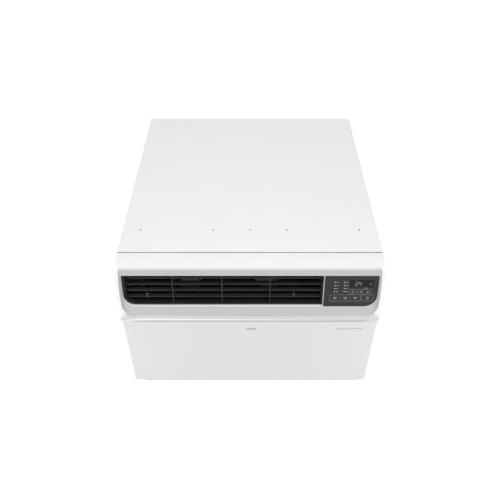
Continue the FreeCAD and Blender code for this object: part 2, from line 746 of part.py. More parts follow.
def panel_plan(inset):
    """The panel's outline from above: flat across the middle, curving back towards each side."""
    half = PANEL_HALF - inset
    front = FRONT_Y + inset
    back = FRONT_Y + PANEL_DEPTH + (1 if inset else 0)
    flat = PANEL_FLAT
    side = front + PANEL_CURVE
    bow = (flat + half) / 2
    right = Part.Arc(Vec(flat, front, 0), Vec(bow, front + PANEL_CURVE / 4, 0), Vec(half, side, 0)).toShape()
    left = Part.Arc(Vec(-half, side, 0), Vec(-bow, front + PANEL_CURVE / 4, 0), Vec(-flat, front, 0)).toShape()
    edges = [Part.makeLine(Vec(-flat, front, 0), Vec(flat, front, 0)), right,
             Part.makeLine(Vec(half, side, 0), Vec(half, back, 0)),
             Part.makeLine(Vec(half, back, 0), Vec(-half, back, 0)),
             Part.makeLine(Vec(-half, back, 0), Vec(-half, side, 0)), left]
    return Part.Face(Part.Wire(edges))


def inlet_panel():
    """Shallow tray with its open side to the rear, on two hinge pins at its foot."""
    outer = panel_plan(0).extrude(Vec(0, 0, PANEL_TOP_Z - PANEL_BOTTOM_Z))
    outer.translate(Vec(0, 0, PANEL_BOTTOM_Z))
    front_edges = [edge for edge in outer.Edges
                   if edge.BoundBox.ZLength < 0.01 and edge.BoundBox.YMax < FRONT_Y + PANEL_CURVE + 0.1]
    outer = outer.makeFillet(1.2, front_edges)
    inner = panel_plan(2.5).extrude(Vec(0, 0, PANEL_TOP_Z - PANEL_BOTTOM_Z - 5))
    inner.translate(Vec(0, 0, PANEL_BOTTOM_Z + 2.5))
    pieces = [outer.cut(inner)]
    for side in (-1, 1):
        ends = sorted((side * (PANEL_HALF - 4), side * (WIDTH / 2 - 0.5)))
        pieces.append(rod("x", HINGE_PIN_R, ends[0], ends[1], (PANEL_HINGE_Y, PANEL_HINGE_Z)))
    return cut(fuse(pieces), [badge_pocket(place) for place in BADGES])


def badge_pocket(place):
    """A shallow pill-shaped pocket in the panel's front for a plain badge."""
    span, heights = place
    radius = (heights[1] - heights[0]) / 2 - 0.01
    pocket = slab(span, heights, (-1, BADGE_DEPTH), (radius, radius, radius, radius))
    pocket.Placement = FreeCAD.Placement(Vec(0, FRONT_Y, 0), FreeCAD.Rotation(Vec(1, 0, 0), -90))
    pocket = pocket.mirror(Vec(0, 0, 0), Vec(0, 0, 1))
    return pocket


def air_filter_frame():
    """Grid of bars round the filter's mesh, with its pull edge at the right."""
    y = (FILTER_Y, FILTER_Y + FILTER_THICK)
    outer = box((-FILTER_HALF, WIDTH / 2 - 3), y, FILTER_Z)
    tools = []
    step = (2 * FILTER_HALF - 2 * FILTER_BAR) / FILTER_COLUMNS
    middle = (FILTER_Z[0] + FILTER_Z[1]) / 2
    rows = ((FILTER_Z[0] + FILTER_BORDER, middle - FILTER_BAR / 2),
            (middle + FILTER_BAR / 2, FILTER_Z[1] - FILTER_BORDER))
    for column in range(FILTER_COLUMNS):
        left = -FILTER_HALF + FILTER_BORDER + column * step
        for low, high in rows:
            tools.append(box((left, left + step - FILTER_BAR), (y[0] - 1, y[1] + 1), (low, high)))
    return cut(outer, tools)


def air_filter_mesh():
    middle = FILTER_Y + FILTER_THICK / 2
    return box((-FILTER_HALF + MESH_BORDER, FILTER_HALF - MESH_BORDER),
               (middle - MESH_THICK / 2, middle + MESH_THICK / 2),
               (FILTER_Z[0] + MESH_BORDER, FILTER_Z[1] - MESH_BORDER))


# ---------------------------------------------------------------- chassis structure

def base_pan():
    """Steel tray under the whole chassis, with the condensate spout at its rear."""
    y = (PAN_FRONT, REAR_Y)
    tray = box((-CHASSIS_HALF, CHASSIS_HALF), y, (PAN_BOTTOM, PAN_TOP))
    well = box((-CHASSIS_HALF + PAN_SHEET, CHASSIS_HALF - PAN_SHEET), (y[0] + PAN_SHEET, y[1] - PAN_SHEET),
               (PAN_BOTTOM + PAN_SHEET, PAN_TOP + 1))
    spout = tube("y", *DRAIN_R, REAR_Y - DRAIN_LENGTH, REAR_Y, DRAIN_PLACE)
    return fuse([tray.cut(well), spout]).cut(rod("y", DRAIN_R[1], REAR_Y - OVER, REAR_Y + OVER, DRAIN_PLACE))


def chassis_handle():
    """Pull bar on the tray's front wall."""
    front, back = HANDLE_REACH
    bar = box((-HANDLE_HALF, HANDLE_HALF), (PAN_FRONT - front, PAN_FRONT - back), HANDLE_Z)
    ends = []
    for side in (-1, 1):
        middle = side * (HANDLE_HALF - HANDLE_END)
        ends.append(box((middle - HANDLE_END, middle + HANDLE_END),
                        (PAN_FRONT - (front + back) / 2, PAN_FRONT), HANDLE_Z))
    return fuse([bar] + ends)


def bulkhead():
    """Sheet wall between the room side and the outdoor side, open for the motor."""
    through = (BULKHEAD_Y[0] - OVER, BULKHEAD_Y[1] + OVER)
    wall = box((-CHASSIS_HALF + 2, CHASSIS_HALF - 2), BULKHEAD_Y, (PAN_BOTTOM + PAN_SHEET, BULKHEAD_TOP))
    pipe_way = rod("y", PIPE_WAY_R, *through, (SUCTION_X, SUCTION_Z))
    return cut(wall, [rod("y", MOTOR_WAY_R, *through, (AXIS_X, AXIS_Z)), pipe_way])


def condenser_shroud():
    """Box that leads the outdoor fan's air through the rear coil."""
    y = (FAN_Y[0] + 8, COIL_Y[0] - 1)
    shell = box(SHROUD_X, y, (PAN_TOP + 1, SHROUD_TOP))
    cavity = box((SHROUD_X[0] + SHROUD_SHEET, SHROUD_X[1] - SHROUD_SHEET), (y[0] + SHROUD_SHEET, y[1] + 1),
                 (PAN_TOP + 1 + SHROUD_SHEET, SHROUD_TOP - SHROUD_SHEET))
    hole = rod("y", FAN_R + 8, y[0] - OVER, y[0] + OVER, (AXIS_X, AXIS_Z))
    return cut(shell, [cavity, hole])


def blower_scroll():
    """Snail housing round the wheel, with its throat going up to the outlet frame."""
    centre = (AXIS_X, AXIS_Z)
    y = (WHEEL_Y[0] - SCROLL_SIDE, WHEEL_Y[1] + SCROLL_SIDE)
    back = y[1] - SCROLL_WALL
    drum = rod("y", SCROLL_R, *y, centre)
    throat = box(SCROLL_X, y, (AXIS_Z + THROAT_RISE, SHROUD_TOP))
    hollow = rod("y", SCROLL_R - SCROLL_WALL, y[0] + SCROLL_WALL, back, centre)
    channel = box((SCROLL_X[0] + SCROLL_WALL, SCROLL_X[1] - SCROLL_WALL), (y[0] - OVER, back),
                  (AXIS_Z + CHANNEL_RISE, SHROUD_TOP - SCROLL_WALL))
    inlet = rod("y", INLET_R, y[0] - OVER, y[0] + 2 * OVER, centre)
    back_hole = rod("y", SCROLL_BACK_R, y[1] - 2 * OVER, y[1] + OVER, centre)
    return cut(fuse([drum, throat]), [hollow, channel, inlet, back_hole])


# ---------------------------------------------------------------- fans

def fan_shaft():
    return rod("y", SHAFT_R, WHEEL_Y[0] + 20, FAN_Y[1] + 6, (AXIS_X, AXIS_Z))


def blower_wheel():
    """Room-side wheel: a disc, a hub and a rim joined by leaning blades."""
    centre = (AXIS_X, AXIS_Z)
    hub_r, hub_length = WHEEL_HUB
    back = tube("y", WHEEL_R, SHAFT_R, WHEEL_Y[1] - WHEEL_DISC, WHEEL_Y[1], centre)
    hub = tube("y", hub_r, SHAFT_R, WHEEL_Y[1] - hub_length, WHEEL_Y[1], centre)
    rim = tube("y", WHEEL_R, WHEEL_R - WHEEL_RIM, WHEEL_Y[0], WHEEL_Y[0] + WHEEL_DISC, centre)
    blades = []
    for index in range(WHEEL_BLADES):
        plate = box((WHEEL_R - 2 - WHEEL_BLADE, WHEEL_R - 2), WHEEL_Y, (-0.8, 0.8))
        plate.rotate(Vec(WHEEL_R - 10, 0, 0), Vec(0, 1, 0), WHEEL_LEAN)
        plate.rotate(Vec(0, 0, 0), Vec(0, 1, 0), index * 360 / WHEEL_BLADES)
        plate.translate(Vec(AXIS_X, 0, AXIS_Z))
        blades.append(plate)
    return fuse([back, hub, rim] + blades)


def condenser_fan():
    """Outdoor fan: five pitched blades inside a ring that throws water onto the coil."""
    centre = (AXIS_X, AXIS_Z)
    ring_thick, ring_start, ring_end = FAN_RING
    hub = tube("y", FAN_HUB_R, SHAFT_R, FAN_Y[0], FAN_Y[1] - 4, centre)
    ring = tube("y", FAN_R, FAN_R - ring_thick, FAN_Y[0] + ring_start, FAN_Y[0] + ring_end, centre)
    blades = []
    for index in range(FAN_BLADES):
        plate = slab((FAN_HUB_R - 6, FAN_R - 1.5), (-FAN_CHORD_HALF, FAN_CHORD_HALF), (-1.2, 1.2),
                     (10, 30, 30, 10))
        plate.rotate(Vec(0, 0, 0), Vec(1, 0, 0), 90 + FAN_PITCH)
        plate.rotate(Vec(0, 0, 0), Vec(0, 1, 0), index * 360 / FAN_BLADES)
        plate.translate(Vec(AXIS_X, (FAN_Y[0] + FAN_Y[1]) / 2 - 1, AXIS_Z))
        blades.append(plate.common(rod("y", FAN_R - 1, FAN_Y[0] + 2, FAN_Y[1] - 2, centre)))
    return fuse([hub, ring] + blades)


def fan_motor():
    """Motor with a shaft out of each end."""
    centre = (AXIS_X, AXIS_Z)
    parts = [rod("y", radius, start, end, centre) for radius, start, end in MOTOR_STEPS]
    return fuse(parts).cut(rod("y", SHAFT_R + 0.05, -FAR, FAR, centre))


def motor_bracket():
    """Cradle that holds the motor above the pan."""
    floor = PAN_BOTTOM + PAN_SHEET
    shapes = []
    for (half, start, end), top in ((BRACKET_BASE, floor + BRACKET_SHEET), (BRACKET_COLUMN, AXIS_Z)):
        shapes.append(box((AXIS_X - half, AXIS_X + half), (start, end), (floor, top)))
    seat = rod("y", MOTOR_STEPS[0][0] + BRACKET_CLEAR, -FAR, FAR, (AXIS_X, AXIS_Z))
    return fuse(shapes).cut(seat)


# ---------------------------------------------------------------- coils

def fin_pack(x, y, z, pitch, groove):
    """One folded pack of upright fins: a comb outline pulled up to the coil's height."""
    count = int((x[1] - x[0]) / pitch)
    points = []
    for index in range(count):
        left = x[0] + index * pitch
        points += [(left, y[1] - groove), (left, y[1]), (left + pitch / 3, y[1]),
                   (left + pitch / 3, y[1] - groove)]
    right = points[-1][0]
    points += [(right, y[0]), (x[0], y[0])]
    wire = Part.makePolygon([Vec(px, py, z[0]) for px, py in points + points[:1]])
    return Part.Face(wire).extrude(Vec(0, 0, z[1] - z[0]))


def coil_rows(z, rows):
    step = (z[1] - z[0]) / rows
    return [z[0] + step * (row + 0.5) for row in range(rows)]


def fins(x, y, z, rows, groove):
    pack = fin_pack(x, y, z, FIN_PITCH, groove)
    middle = (y[0] + y[1]) / 2
    hole = TUBE_R + TUBE_CLEAR
    return cut(pack, [rod("x", hole, x[0] - 1, x[1] + 1, (middle, row)) for row in coil_rows(z, rows)])


def tubes(x, y, z, rows):
    """Straight tubes through the fins, joined in pairs by half-round bends."""
    middle = (y[0] + y[1]) / 2
    heights = coil_rows(z, rows)
    ends = (x[0] - TUBE_END, x[1] + TUBE_END)
    pieces = [rod("x", TUBE_R, *ends, (middle, row)) for row in heights]
    for index in range(rows - 1):
        low, high = heights[index], heights[index + 1]
        side = 1 if index % 2 == 0 else -1
        end = ends[1] if side > 0 else ends[0]
        ring = Part.makeTorus((high - low) / 2, TUBE_R, Vec(end, middle, (low + high) / 2), Vec(0, 1, 0))
        keep = box(sorted((end, end + side * 40)), (middle - 20, middle + 20), (low - 10, high + 10))
        pieces.append(ring.common(keep))
    return fuse(pieces)


# ---------------------------------------------------------------- sealed system

def rounded_can(radius, z, place, rounding):
    """An upright can with round shoulders."""
    can = rod("z", radius, *z, place)
    rims = [edge for edge in can.Edges if edge.Curve.TypeId == "Part::GeomCircle"]
    return can.makeFillet(rounding, rims)


def compressor():
    """Welded can on a plate with four feet."""
    can = rounded_can(COMP_R, (COMP_LOW, COMP_LOW + COMP_HEIGHT), (COMP_X, COMP_Y), COMP_ROUND)
    half_x, half_y = FOOT_HALF
    feet = slab((COMP_X - half_x, COMP_X + half_x), (COMP_Y - half_y, COMP_Y + half_y),
                (COMP_LOW - 3, COMP_LOW + 1), (FOOT_R,) * 4)
    tools = [rod("z", FOOT_HOLE_R, COMP_LOW - OVER, COMP_LOW + OVER, place) for place in foot_places()]
    return fuse([can, cut(feet, tools)])


def foot_places():
    away_x, away_y = FOOT_PLACE
    return [(COMP_X + side_x * away_x, COMP_Y + side_y * away_y) for side_x in (-1, 1) for side_y in (-1, 1)]


def grommets():
    low = PAN_BOTTOM + PAN_SHEET
    return [tube("z", *GROMMET_R, low, GROMMET_TOP, place) for place in foot_places()]


def compressor_nuts():
    """Studs up from the pan through the feet, each with its nut."""
    nuts = []
    for place in foot_places():
        stud = rod("z", STUD_R, PAN_BOTTOM + PAN_SHEET, STUD_TOP, place)
        nuts.append(fuse([stud, rod("z", NUT_R, *NUT_Z, place)]))
    return nuts


def terminal_cover():
    half_x, half_y = COVER_HALF
    return slab((COMP_X - half_x, COMP_X + half_x), (COMP_Y - half_y, COMP_Y + half_y), COVER_Z, (8, 8, 8, 8))


def accumulator():
    return rounded_can(TANK_R, TANK_Z, (COMP_X, TANK_Y), TANK_ROUND)


def suction_pipe():
    end_y, end_z = SUCTION_END
    return pipe([(COMP_X, TANK_Y, TANK_Z[1] + PIPE_GAP), (COMP_X, TANK_Y, SUCTION_Z),
                 (SUCTION_X, TANK_Y, SUCTION_Z), (SUCTION_X, end_y, SUCTION_Z), (SUCTION_X, end_y, end_z)],
                SUCTION_R, SUCTION_BEND)


def discharge_pipe():
    rise_x, end_x = DISCHARGE_X
    top = COMP_LOW + COMP_HEIGHT + 0.4
    return pipe([(rise_x, COMP_Y, top), (rise_x, COMP_Y, DISCHARGE_Z), (rise_x, DISCHARGE_Y, DISCHARGE_Z),
                 (end_x, DISCHARGE_Y, DISCHARGE_Z), (end_x, COIL_Y[0] + 12, DISCHARGE_Z)],
                DISCHARGE_R, DISCHARGE_BEND)


# ---------------------------------------------------------------- electrics

def control_box():
    """Sheet-metal tray for the power electronics, open at the top."""
    outer = box(ELECTRIC_X, ELECTRIC_Y, ELECTRIC_Z)
    inner = box((ELECTRIC_X[0] + ELECTRIC_SHEET, ELECTRIC_X[1] - ELECTRIC_SHEET),
                (ELECTRIC_Y[0] + ELECTRIC_SHEET, ELECTRIC_Y[1] - ELECTRIC_SHEET),
                (ELECTRIC_Z[0] + ELECTRIC_SHEET, ELECTRIC_Z[1] + 1))
    return outer.cut(inner)


def control_box_cover():
    low = ELECTRIC_Z[1] + 0.1
    return box(ELECTRIC_X, ELECTRIC_Y, (low, low + ELECTRIC_SHEET))


def inverter_board():
    """Board with three capacitors and a power module."""
    board = box(INVERTER_X, INVERTER_Y, INVERTER_Z)
    low = INVERTER_Z[1] - 0.1
    first_x, first_y = CAPACITOR_FIRST
    parts = [rod("z", CAPACITOR_R, low, CAPACITOR_TOP, (first_x + index * CAPACITOR_PITCH, first_y))
             for index in range(CAPACITORS)]
    module_x, module_y, module_top = MODULE
    parts.append(box(module_x, module_y, (low, module_top)))
    return fuse([board] + parts)


def heat_sink():
    """Finned block on the power module."""
    x, y, z = SINK
    fin_list = []
    for index in range(SINK_FINS):
        left = x[0] + index * SINK_PITCH
        fin_list.append(box((left, left + SINK_FIN), y, (z[1] - 1, SINK_TOP)))
    return fuse([box(x, y, z)] + fin_list)


# ---------------------------------------------------------------- write the nodes

def main():
    save(cabinet_sleeve(), "cabinet_sleeve")
    save(Part.makeCompound(cabinet_screws(0)), "cabinet_screws")
    save(front_grille(), "front_grille")
    save(air_outlet(), "air_outlet")
    for index, place in enumerate(blade_places()):
        save(blade(place, index == BLADE_COUNT - 1), "louvre_blade_%d" % (index + 1))
    save(blade_link(), "blade_link")
    for index, place in enumerate(vane_places()):
        save(vane(place), "vane_%d" % (index + 1))
    save(vane_link(), "vane_link")
    save(vane_motor(), "vane_motor")
    save(control_panel(), "control_panel")
    for name in KEYS:
        save(control_key(name), name)
    save(display_window(), "display_window")
    save(Part.makeCompound(indicator_lights()), "indicator_lights")
    save(control_board(), "control_board")
    save(front_frame(), "front_frame")
    save(inlet_plate(), "inlet_plate")
    save(cord_gland(), "cord_gland")
    save(inlet_panel(), "inlet_panel")
    save(air_filter_frame().cut(air_filter_mesh()), "air_filter_frame")
    save(air_filter_mesh(), "air_filter_mesh")
    save(base_pan(), "base_pan")
    save(chassis_handle(), "chassis_handle")
    save(bulkhead(), "bulkhead")
    save(condenser_shroud(), "condenser_shroud")
    save(blower_scroll(), "blower_scroll")
    save(fan_shaft(), "fan_shaft")
    save(blower_wheel(), "blower_wheel")
    save(condenser_fan(), "condenser_fan")
    save(fan_motor(), "fan_motor")
    save(motor_bracket(), "motor_bracket")
    save(fins(COIL_X, COIL_Y, COIL_Z, COIL_ROWS, FIN_PITCH), "condenser_fins")
    save(tubes(COIL_X, COIL_Y, COIL_Z, COIL_ROWS), "condenser_tubes")
    save(fins(EVAP_X, EVAP_Y, EVAP_Z, EVAP_ROWS, 1.0), "evaporator_fins")
    save(tubes(EVAP_X, EVAP_Y, EVAP_Z, EVAP_ROWS), "evaporator_tubes")
    save(compressor(), "compressor")
    save(Part.makeCompound(grommets()), "compressor_grommets")
    save(Part.makeCompound(compressor_nuts()), "compressor_nuts")
    save(terminal_cover(), "terminal_cover")
    save(accumulator(), "accumulator")
    save(suction_pipe(), "suction_pipe")
    save(discharge_pipe(), "discharge_pipe")
    save(control_box(), "control_box")
    save(control_box_cover(), "control_box_cover")
    save(inverter_board(), "inverter_board")
    save(heat_sink(), "heat_sink")


main()
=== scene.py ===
import bmesh
import bpy
import json
import math
from mathutils import Matrix, Vector


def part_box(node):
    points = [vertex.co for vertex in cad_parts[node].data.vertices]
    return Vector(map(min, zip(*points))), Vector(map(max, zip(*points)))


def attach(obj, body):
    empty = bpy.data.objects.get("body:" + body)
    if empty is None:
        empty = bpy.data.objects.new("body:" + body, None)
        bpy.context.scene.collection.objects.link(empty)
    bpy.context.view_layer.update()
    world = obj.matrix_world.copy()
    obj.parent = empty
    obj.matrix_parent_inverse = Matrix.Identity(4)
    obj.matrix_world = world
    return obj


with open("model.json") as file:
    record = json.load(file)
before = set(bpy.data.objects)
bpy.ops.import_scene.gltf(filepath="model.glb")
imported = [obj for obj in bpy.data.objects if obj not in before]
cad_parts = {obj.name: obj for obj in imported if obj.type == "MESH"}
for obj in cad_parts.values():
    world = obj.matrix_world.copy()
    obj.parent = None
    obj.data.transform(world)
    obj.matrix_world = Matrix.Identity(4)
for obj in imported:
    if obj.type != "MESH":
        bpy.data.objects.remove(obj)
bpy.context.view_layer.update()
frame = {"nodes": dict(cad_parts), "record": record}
NODES = frame["nodes"]
SLOT_OF = {entry["node"]: entry["material_slot"] for entry in frame["record"]["subparts"]}

# The tilted face's own frame, in metres: x across, y up the face, z out of it.
SEAM_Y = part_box("cabinet_sleeve")[0].y
TOP_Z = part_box("cabinet_sleeve")[1].z
FACE_TOP = (0.048, 0.022)
FACE_BOTTOM = (0.075, 0.151)
FACE_RISE = FACE_BOTTOM[1] - FACE_TOP[1]
FACE_RUN = FACE_BOTTOM[0] - FACE_TOP[0]
FACE_LENGTH = math.hypot(FACE_RISE, FACE_RUN)
FACE = (Matrix.Translation((0, SEAM_Y - FACE_TOP[0], TOP_Z - FACE_TOP[1]))
        @ Matrix.Rotation(math.atan2(FACE_RISE, FACE_RUN), 4, "X"))
PANEL_FRONT = -0.0006
INK_LIFT = 0.00012
INK_THICK = 0.00025
KEY_PROUD = 0.0006

# How far the tilted face and the scoop at its foot reach, which bounds where shade is painted on the face,
# its lip and the scoop.
OUTLET_LOW = -0.1031
OUTLET_HIGH = -0.0111
FACE_HALF = 0.3222
FACE_SKIN = 0.0008
LIP_DEPTH = FACE_SKIN / 8
SCOOP_LENGTH = 0.012
SCOOP_RISE = 0.0046

# Badges in the lower panel's pockets: crown inset, depths behind the panel's front, corner radius as a
# share of half the height, and where each one reaches in x and z.
BADGE_CROWN = 0.0004
BADGE_BACK = 0.00058
BADGE_EDGE = 0.0003
BADGE_TOP = 0.00006
BADGE_ROUND = 0.98
BADGE_PLACE = ((-0.0098, 0.0158), (0.2277, 0.2343))
STRIP_PLACE = ((0.2222, 0.2918), (0.23, 0.2324))

# Black strip on top of the lower panel, which stands in for the shadow in the seam above it, and the curve
# of the panel's ends.
SHADOW_STRIP_SET = 0.0009
SHADOW_STRIP_WIDTH = 0.009
SHADOW_STRIP_HEIGHT = 0.0021
SHADOW_STRIP_HALF = 0.322
SHADOW_STRIP_OVERLAP = 0.0001
SHADOW_STRIP_STEPS = 6
PANEL_FLAT = 0.268
PANEL_HALF = 0.3255
PANEL_CURVE = 0.0045

# Printed marks beside the indicator lights and under the display.
LIGHTS_X = (0.210, 0.234)
LIGHT_DROPS = (52.0, 61.0, 70.0, 79.0)
LABEL_OFFSET = 0.0062
LABEL_SIZE = (0.0052, 0.0013)
LABEL_ROUND = 0.45
SIGN_X = (0.281, 0.291)
SIGN_DROPS = (67.5, 71.0)
SIGN_WIDTH = 0.0005
SIGN_ROUNDS = (0.0012, 0.0008)
DIVIDERS_X = (0.2250, 0.2501)
DIVIDER_DROPS = (90.0, 105.0)
DIVIDER_HALF = 0.0002
KEY_BARS = ((0.0022, 0.010), (-0.0022, 0.0072))
KEY_BAR_HALF = 0.0007
KEY_BAR_ROUND = 0.0006
ARROW_HALF = 0.0028
ARROW_BASE = 0.0018
ARROW_TIP = 0.0024
RING_HALF = {"power": 0.0042, "ring": 0.003}
RING_WIDTH = 0.0007
RING_ROUND = 0.98
POWER_BAR_HALF = 0.0005
POWER_BAR_SPAN = (-0.0003, 0.0030)
POWER_BAR_ROUND = 0.0004

# Figures in the display window, which stands a little proud of the fascia.
WINDOW_PROUD = 0.0002
FIGURE_DROP = 56.0
FIGURES = (("2", 0.2630), ("4", 0.2715))
FIGURE_SIZE = (0.0050, 0.0110)
STROKE = 0.0010
STROKE_GAP = 0.6
STROKE_ROUND = 0.4
DOT_X = (0.2955, 0.2985)
DOT_HALF = 0.0015
DOT_R = 0.00145

# Camera, floor and lights.
CAMERA_PLACE = (0.0, -1.349, 1.375)
CAMERA_TILT = 48.0
CAMERA_LENS = 41.02
SENSOR_WIDTH = 36.0
FLOOR_SIZE = 14.0
FLOOR_DROP = 0.0005
FLOOR_GLOW = 0.84
WORLD_GLOW = 0.7


# ---------------------------------------------------------------- materials

CASE_WHITE = (0.845, 0.844, 0.848)
GRILLE_WHITE = (0.822, 0.821, 0.822)
# Painted shade: the grey given to the tilted face in place of the shade that falls on it.
FACE_PAINTED_SHADE = (0.487, 0.486, 0.487)
# Painted shade: the black that the outlet's lip darkens to as it rolls inwards.
LIP_PAINTED_SHADE = (0.015, 0.015, 0.016)
# Painted shade: the grey that tones down the lit step of the scoop at the face's foot.
SCOOP_PAINTED_SHADE = (0.598, 0.598, 0.598)
# Painted shade: the lower panel's white, darker than the grille's, stands for the shade on its upright
# front.
PANEL_SHADED_WHITE = (0.66, 0.66, 0.668)

# The part of a noise's range that is spread over the whole of a finish's variation.
NOISE_RANGE = (0.3, 0.7)
# Scale and detail of a finish's tone and roughness noises, and the least roughness that they reach.
TONE_NOISE = (7.0, 4.0)
ROUGHNESS_NOISE = (22.0, 5.0)
LEAST_ROUGHNESS = 0.03
# The mix node's sockets for two colours and their mixture.
MIX_FIRST = 6
MIX_SECOND = 7
MIX_RESULT = 2
# How squarely a surface faces out of the tilted face where its painted shade starts and is full.
SHADE_FACING = (0.58, 0.94)
# How far behind the face the outlet's lip starts to darken with painted shade and is black.
LIP_SHADE = (0.0008, 0.0076)


def new_material(name, colour, roughness, metallic=0.0, coat=0.0, specular=0.5):
    material = bpy.data.materials.new(name)
    material.use_nodes = True
    shader = material.node_tree.nodes["Principled BSDF"]
    shader.inputs["Base Color"].default_value = (*colour, 1.0)
    shader.inputs["Roughness"].default_value = roughness
    shader.inputs["Metallic"].default_value = metallic
    shader.inputs["Coat Weight"].default_value = coat
    shader.inputs["Specular IOR Level"].default_value = specular
    return material, material.node_tree, shader


def noise(tree, scale, detail=3.0, stretch=(1, 1, 1)):
    place = tree.nodes.new("ShaderNodeTexCoord")
    mapping = tree.nodes.new("ShaderNodeMapping")
    mapping.inputs["Scale"].default_value = stretch
    texture = tree.nodes.new("ShaderNodeTexNoise")
    texture.inputs["Scale"].default_value = scale
    texture.inputs["Detail"].default_value = detail
    tree.links.new(place.outputs["Object"], mapping.inputs["Vector"])
    tree.links.new(mapping.outputs["Vector"], texture.inputs["Vector"])
    return texture.outputs["Fac"]


def spread(tree, source, low, high):
    ramp = tree.nodes.new("ShaderNodeMapRange")
    ramp.inputs["From Min"].default_value = NOISE_RANGE[0]
    ramp.inputs["From Max"].default_value = NOISE_RANGE[1]
    ramp.inputs["To Min"].default_value = low
    ramp.inputs["To Max"].default_value = high
    tree.links.new(source, ramp.inputs["Value"])
    return ramp.outputs["Result"]


def tint(tree, shader, source, dark, light):
    mix = tree.nodes.new("ShaderNodeMix")
    mix.data_type = "RGBA"
    mix.inputs[MIX_FIRST].default_value = (*dark, 1.0)
    mix.inputs[MIX_SECOND].default_value = (*light, 1.0)
    tree.links.new(source, mix.inputs[0])
    tree.links.new(mix.outputs[MIX_RESULT], shader.inputs["Base Color"])


def bump(tree, shader, source, distance, strength=0.4):
    node = tree.nodes.new("ShaderNodeBump")
    node.inputs["Distance"].default_value = distance
    node.inputs["Strength"].default_value = strength
    tree.links.new(source, node.inputs["Height"])
    tree.links.new(node.outputs["Normal"], shader.inputs["Normal"])


def shade(colour, factor):
    return tuple(min(1.0, channel * factor) for channel in colour)


def surface(name, colour, roughness, grain=900.0, relief=0.00006, spread_by=0.06, metallic=0.0,
            coat=0.0, specular=0.5, stretch=(1, 1, 1), contrast=0.02):
    """A finish with fine surface grain, broad tone variation and uneven roughness."""
    material, tree, shader = new_material(name, colour, roughness, metallic, coat, specular)
    broad = noise(tree, *TONE_NOISE)
    fine = noise(tree, grain, 3.0, stretch)
    tint(tree, shader, broad, shade(colour, 1 - contrast), shade(colour, 1 + contrast))
    uneven = spread(tree, noise(tree, *ROUGHNESS_NOISE), max(LEAST_ROUGHNESS, roughness - spread_by),
                    roughness + spread_by)
    tree.links.new(uneven, shader.inputs["Roughness"])
    bump(tree, shader, fine, relief)
    return material


def blend_to(tree, colour, source, low, high):
    """Mixes a finish into another colour as a value goes from low to high."""
    socket = tree.nodes["Principled BSDF"].inputs["Base Color"]
    before = socket.links[0].from_socket
    ramp = tree.nodes.new("ShaderNodeMapRange")
    ramp.interpolation_type = "SMOOTHSTEP"
    ramp.inputs["From Min"].default_value = low
    ramp.inputs["From Max"].default_value = high
    tree.links.new(source, ramp.inputs["Value"])
    mix = tree.nodes.new("ShaderNodeMix")
    mix.data_type = "RGBA"
    mix.inputs[MIX_SECOND].default_value = (*colour, 1.0)
    tree.links.new(before, mix.inputs[MIX_FIRST])
    tree.links.new(ramp.outputs["Result"], mix.inputs[0])
    tree.links.new(mix.outputs[MIX_RESULT], socket)


def along(tree, source, direction, offset=0.0):
    """A vector's measure along one direction of the object's own frame."""
    measure = tree.nodes.new("ShaderNodeVectorMath")
    measure.operation = "DOT_PRODUCT"
    measure.inputs[1].default_value = direction
    tree.links.new(source, measure.inputs[0])
    shift = tree.nodes.new("ShaderNodeMath")
    shift.operation = "ADD"
    shift.inputs[1].default_value = offset
    tree.links.new(measure.outputs["Value"], shift.inputs[0])
    return shift.outputs["Value"]


def shaded_face_finish(name, with_lip):
    """White on the brow, with painted shade that turns the tilted face grey; the outlet's lip also darkens
    with painted shade as it rolls inwards.
    """
    material = surface(name, GRILLE_WHITE, 0.36, 1500.0, 0.00003, coat=0.1)
    tree = material.node_tree
    outward = FACE.to_3x3() @ Vector((0, 0, 1))
    geometry = tree.nodes.new("ShaderNodeNewGeometry")
    place = tree.nodes.new("ShaderNodeTexCoord")
    facing = along(tree, geometry.outputs["Normal"], outward)
    # Painted shade: grey where a surface faces squarely out of the tilted face.
    blend_to(tree, FACE_PAINTED_SHADE, facing, *SHADE_FACING)
    if with_lip:
        # Painted shade: the lip darkens to black with depth behind the face.
        inwards = along(tree, place.outputs["Object"], -outward, FACE.translation.dot(outward))
        blend_to(tree, LIP_PAINTED_SHADE, inwards, *LIP_SHADE)
    return material


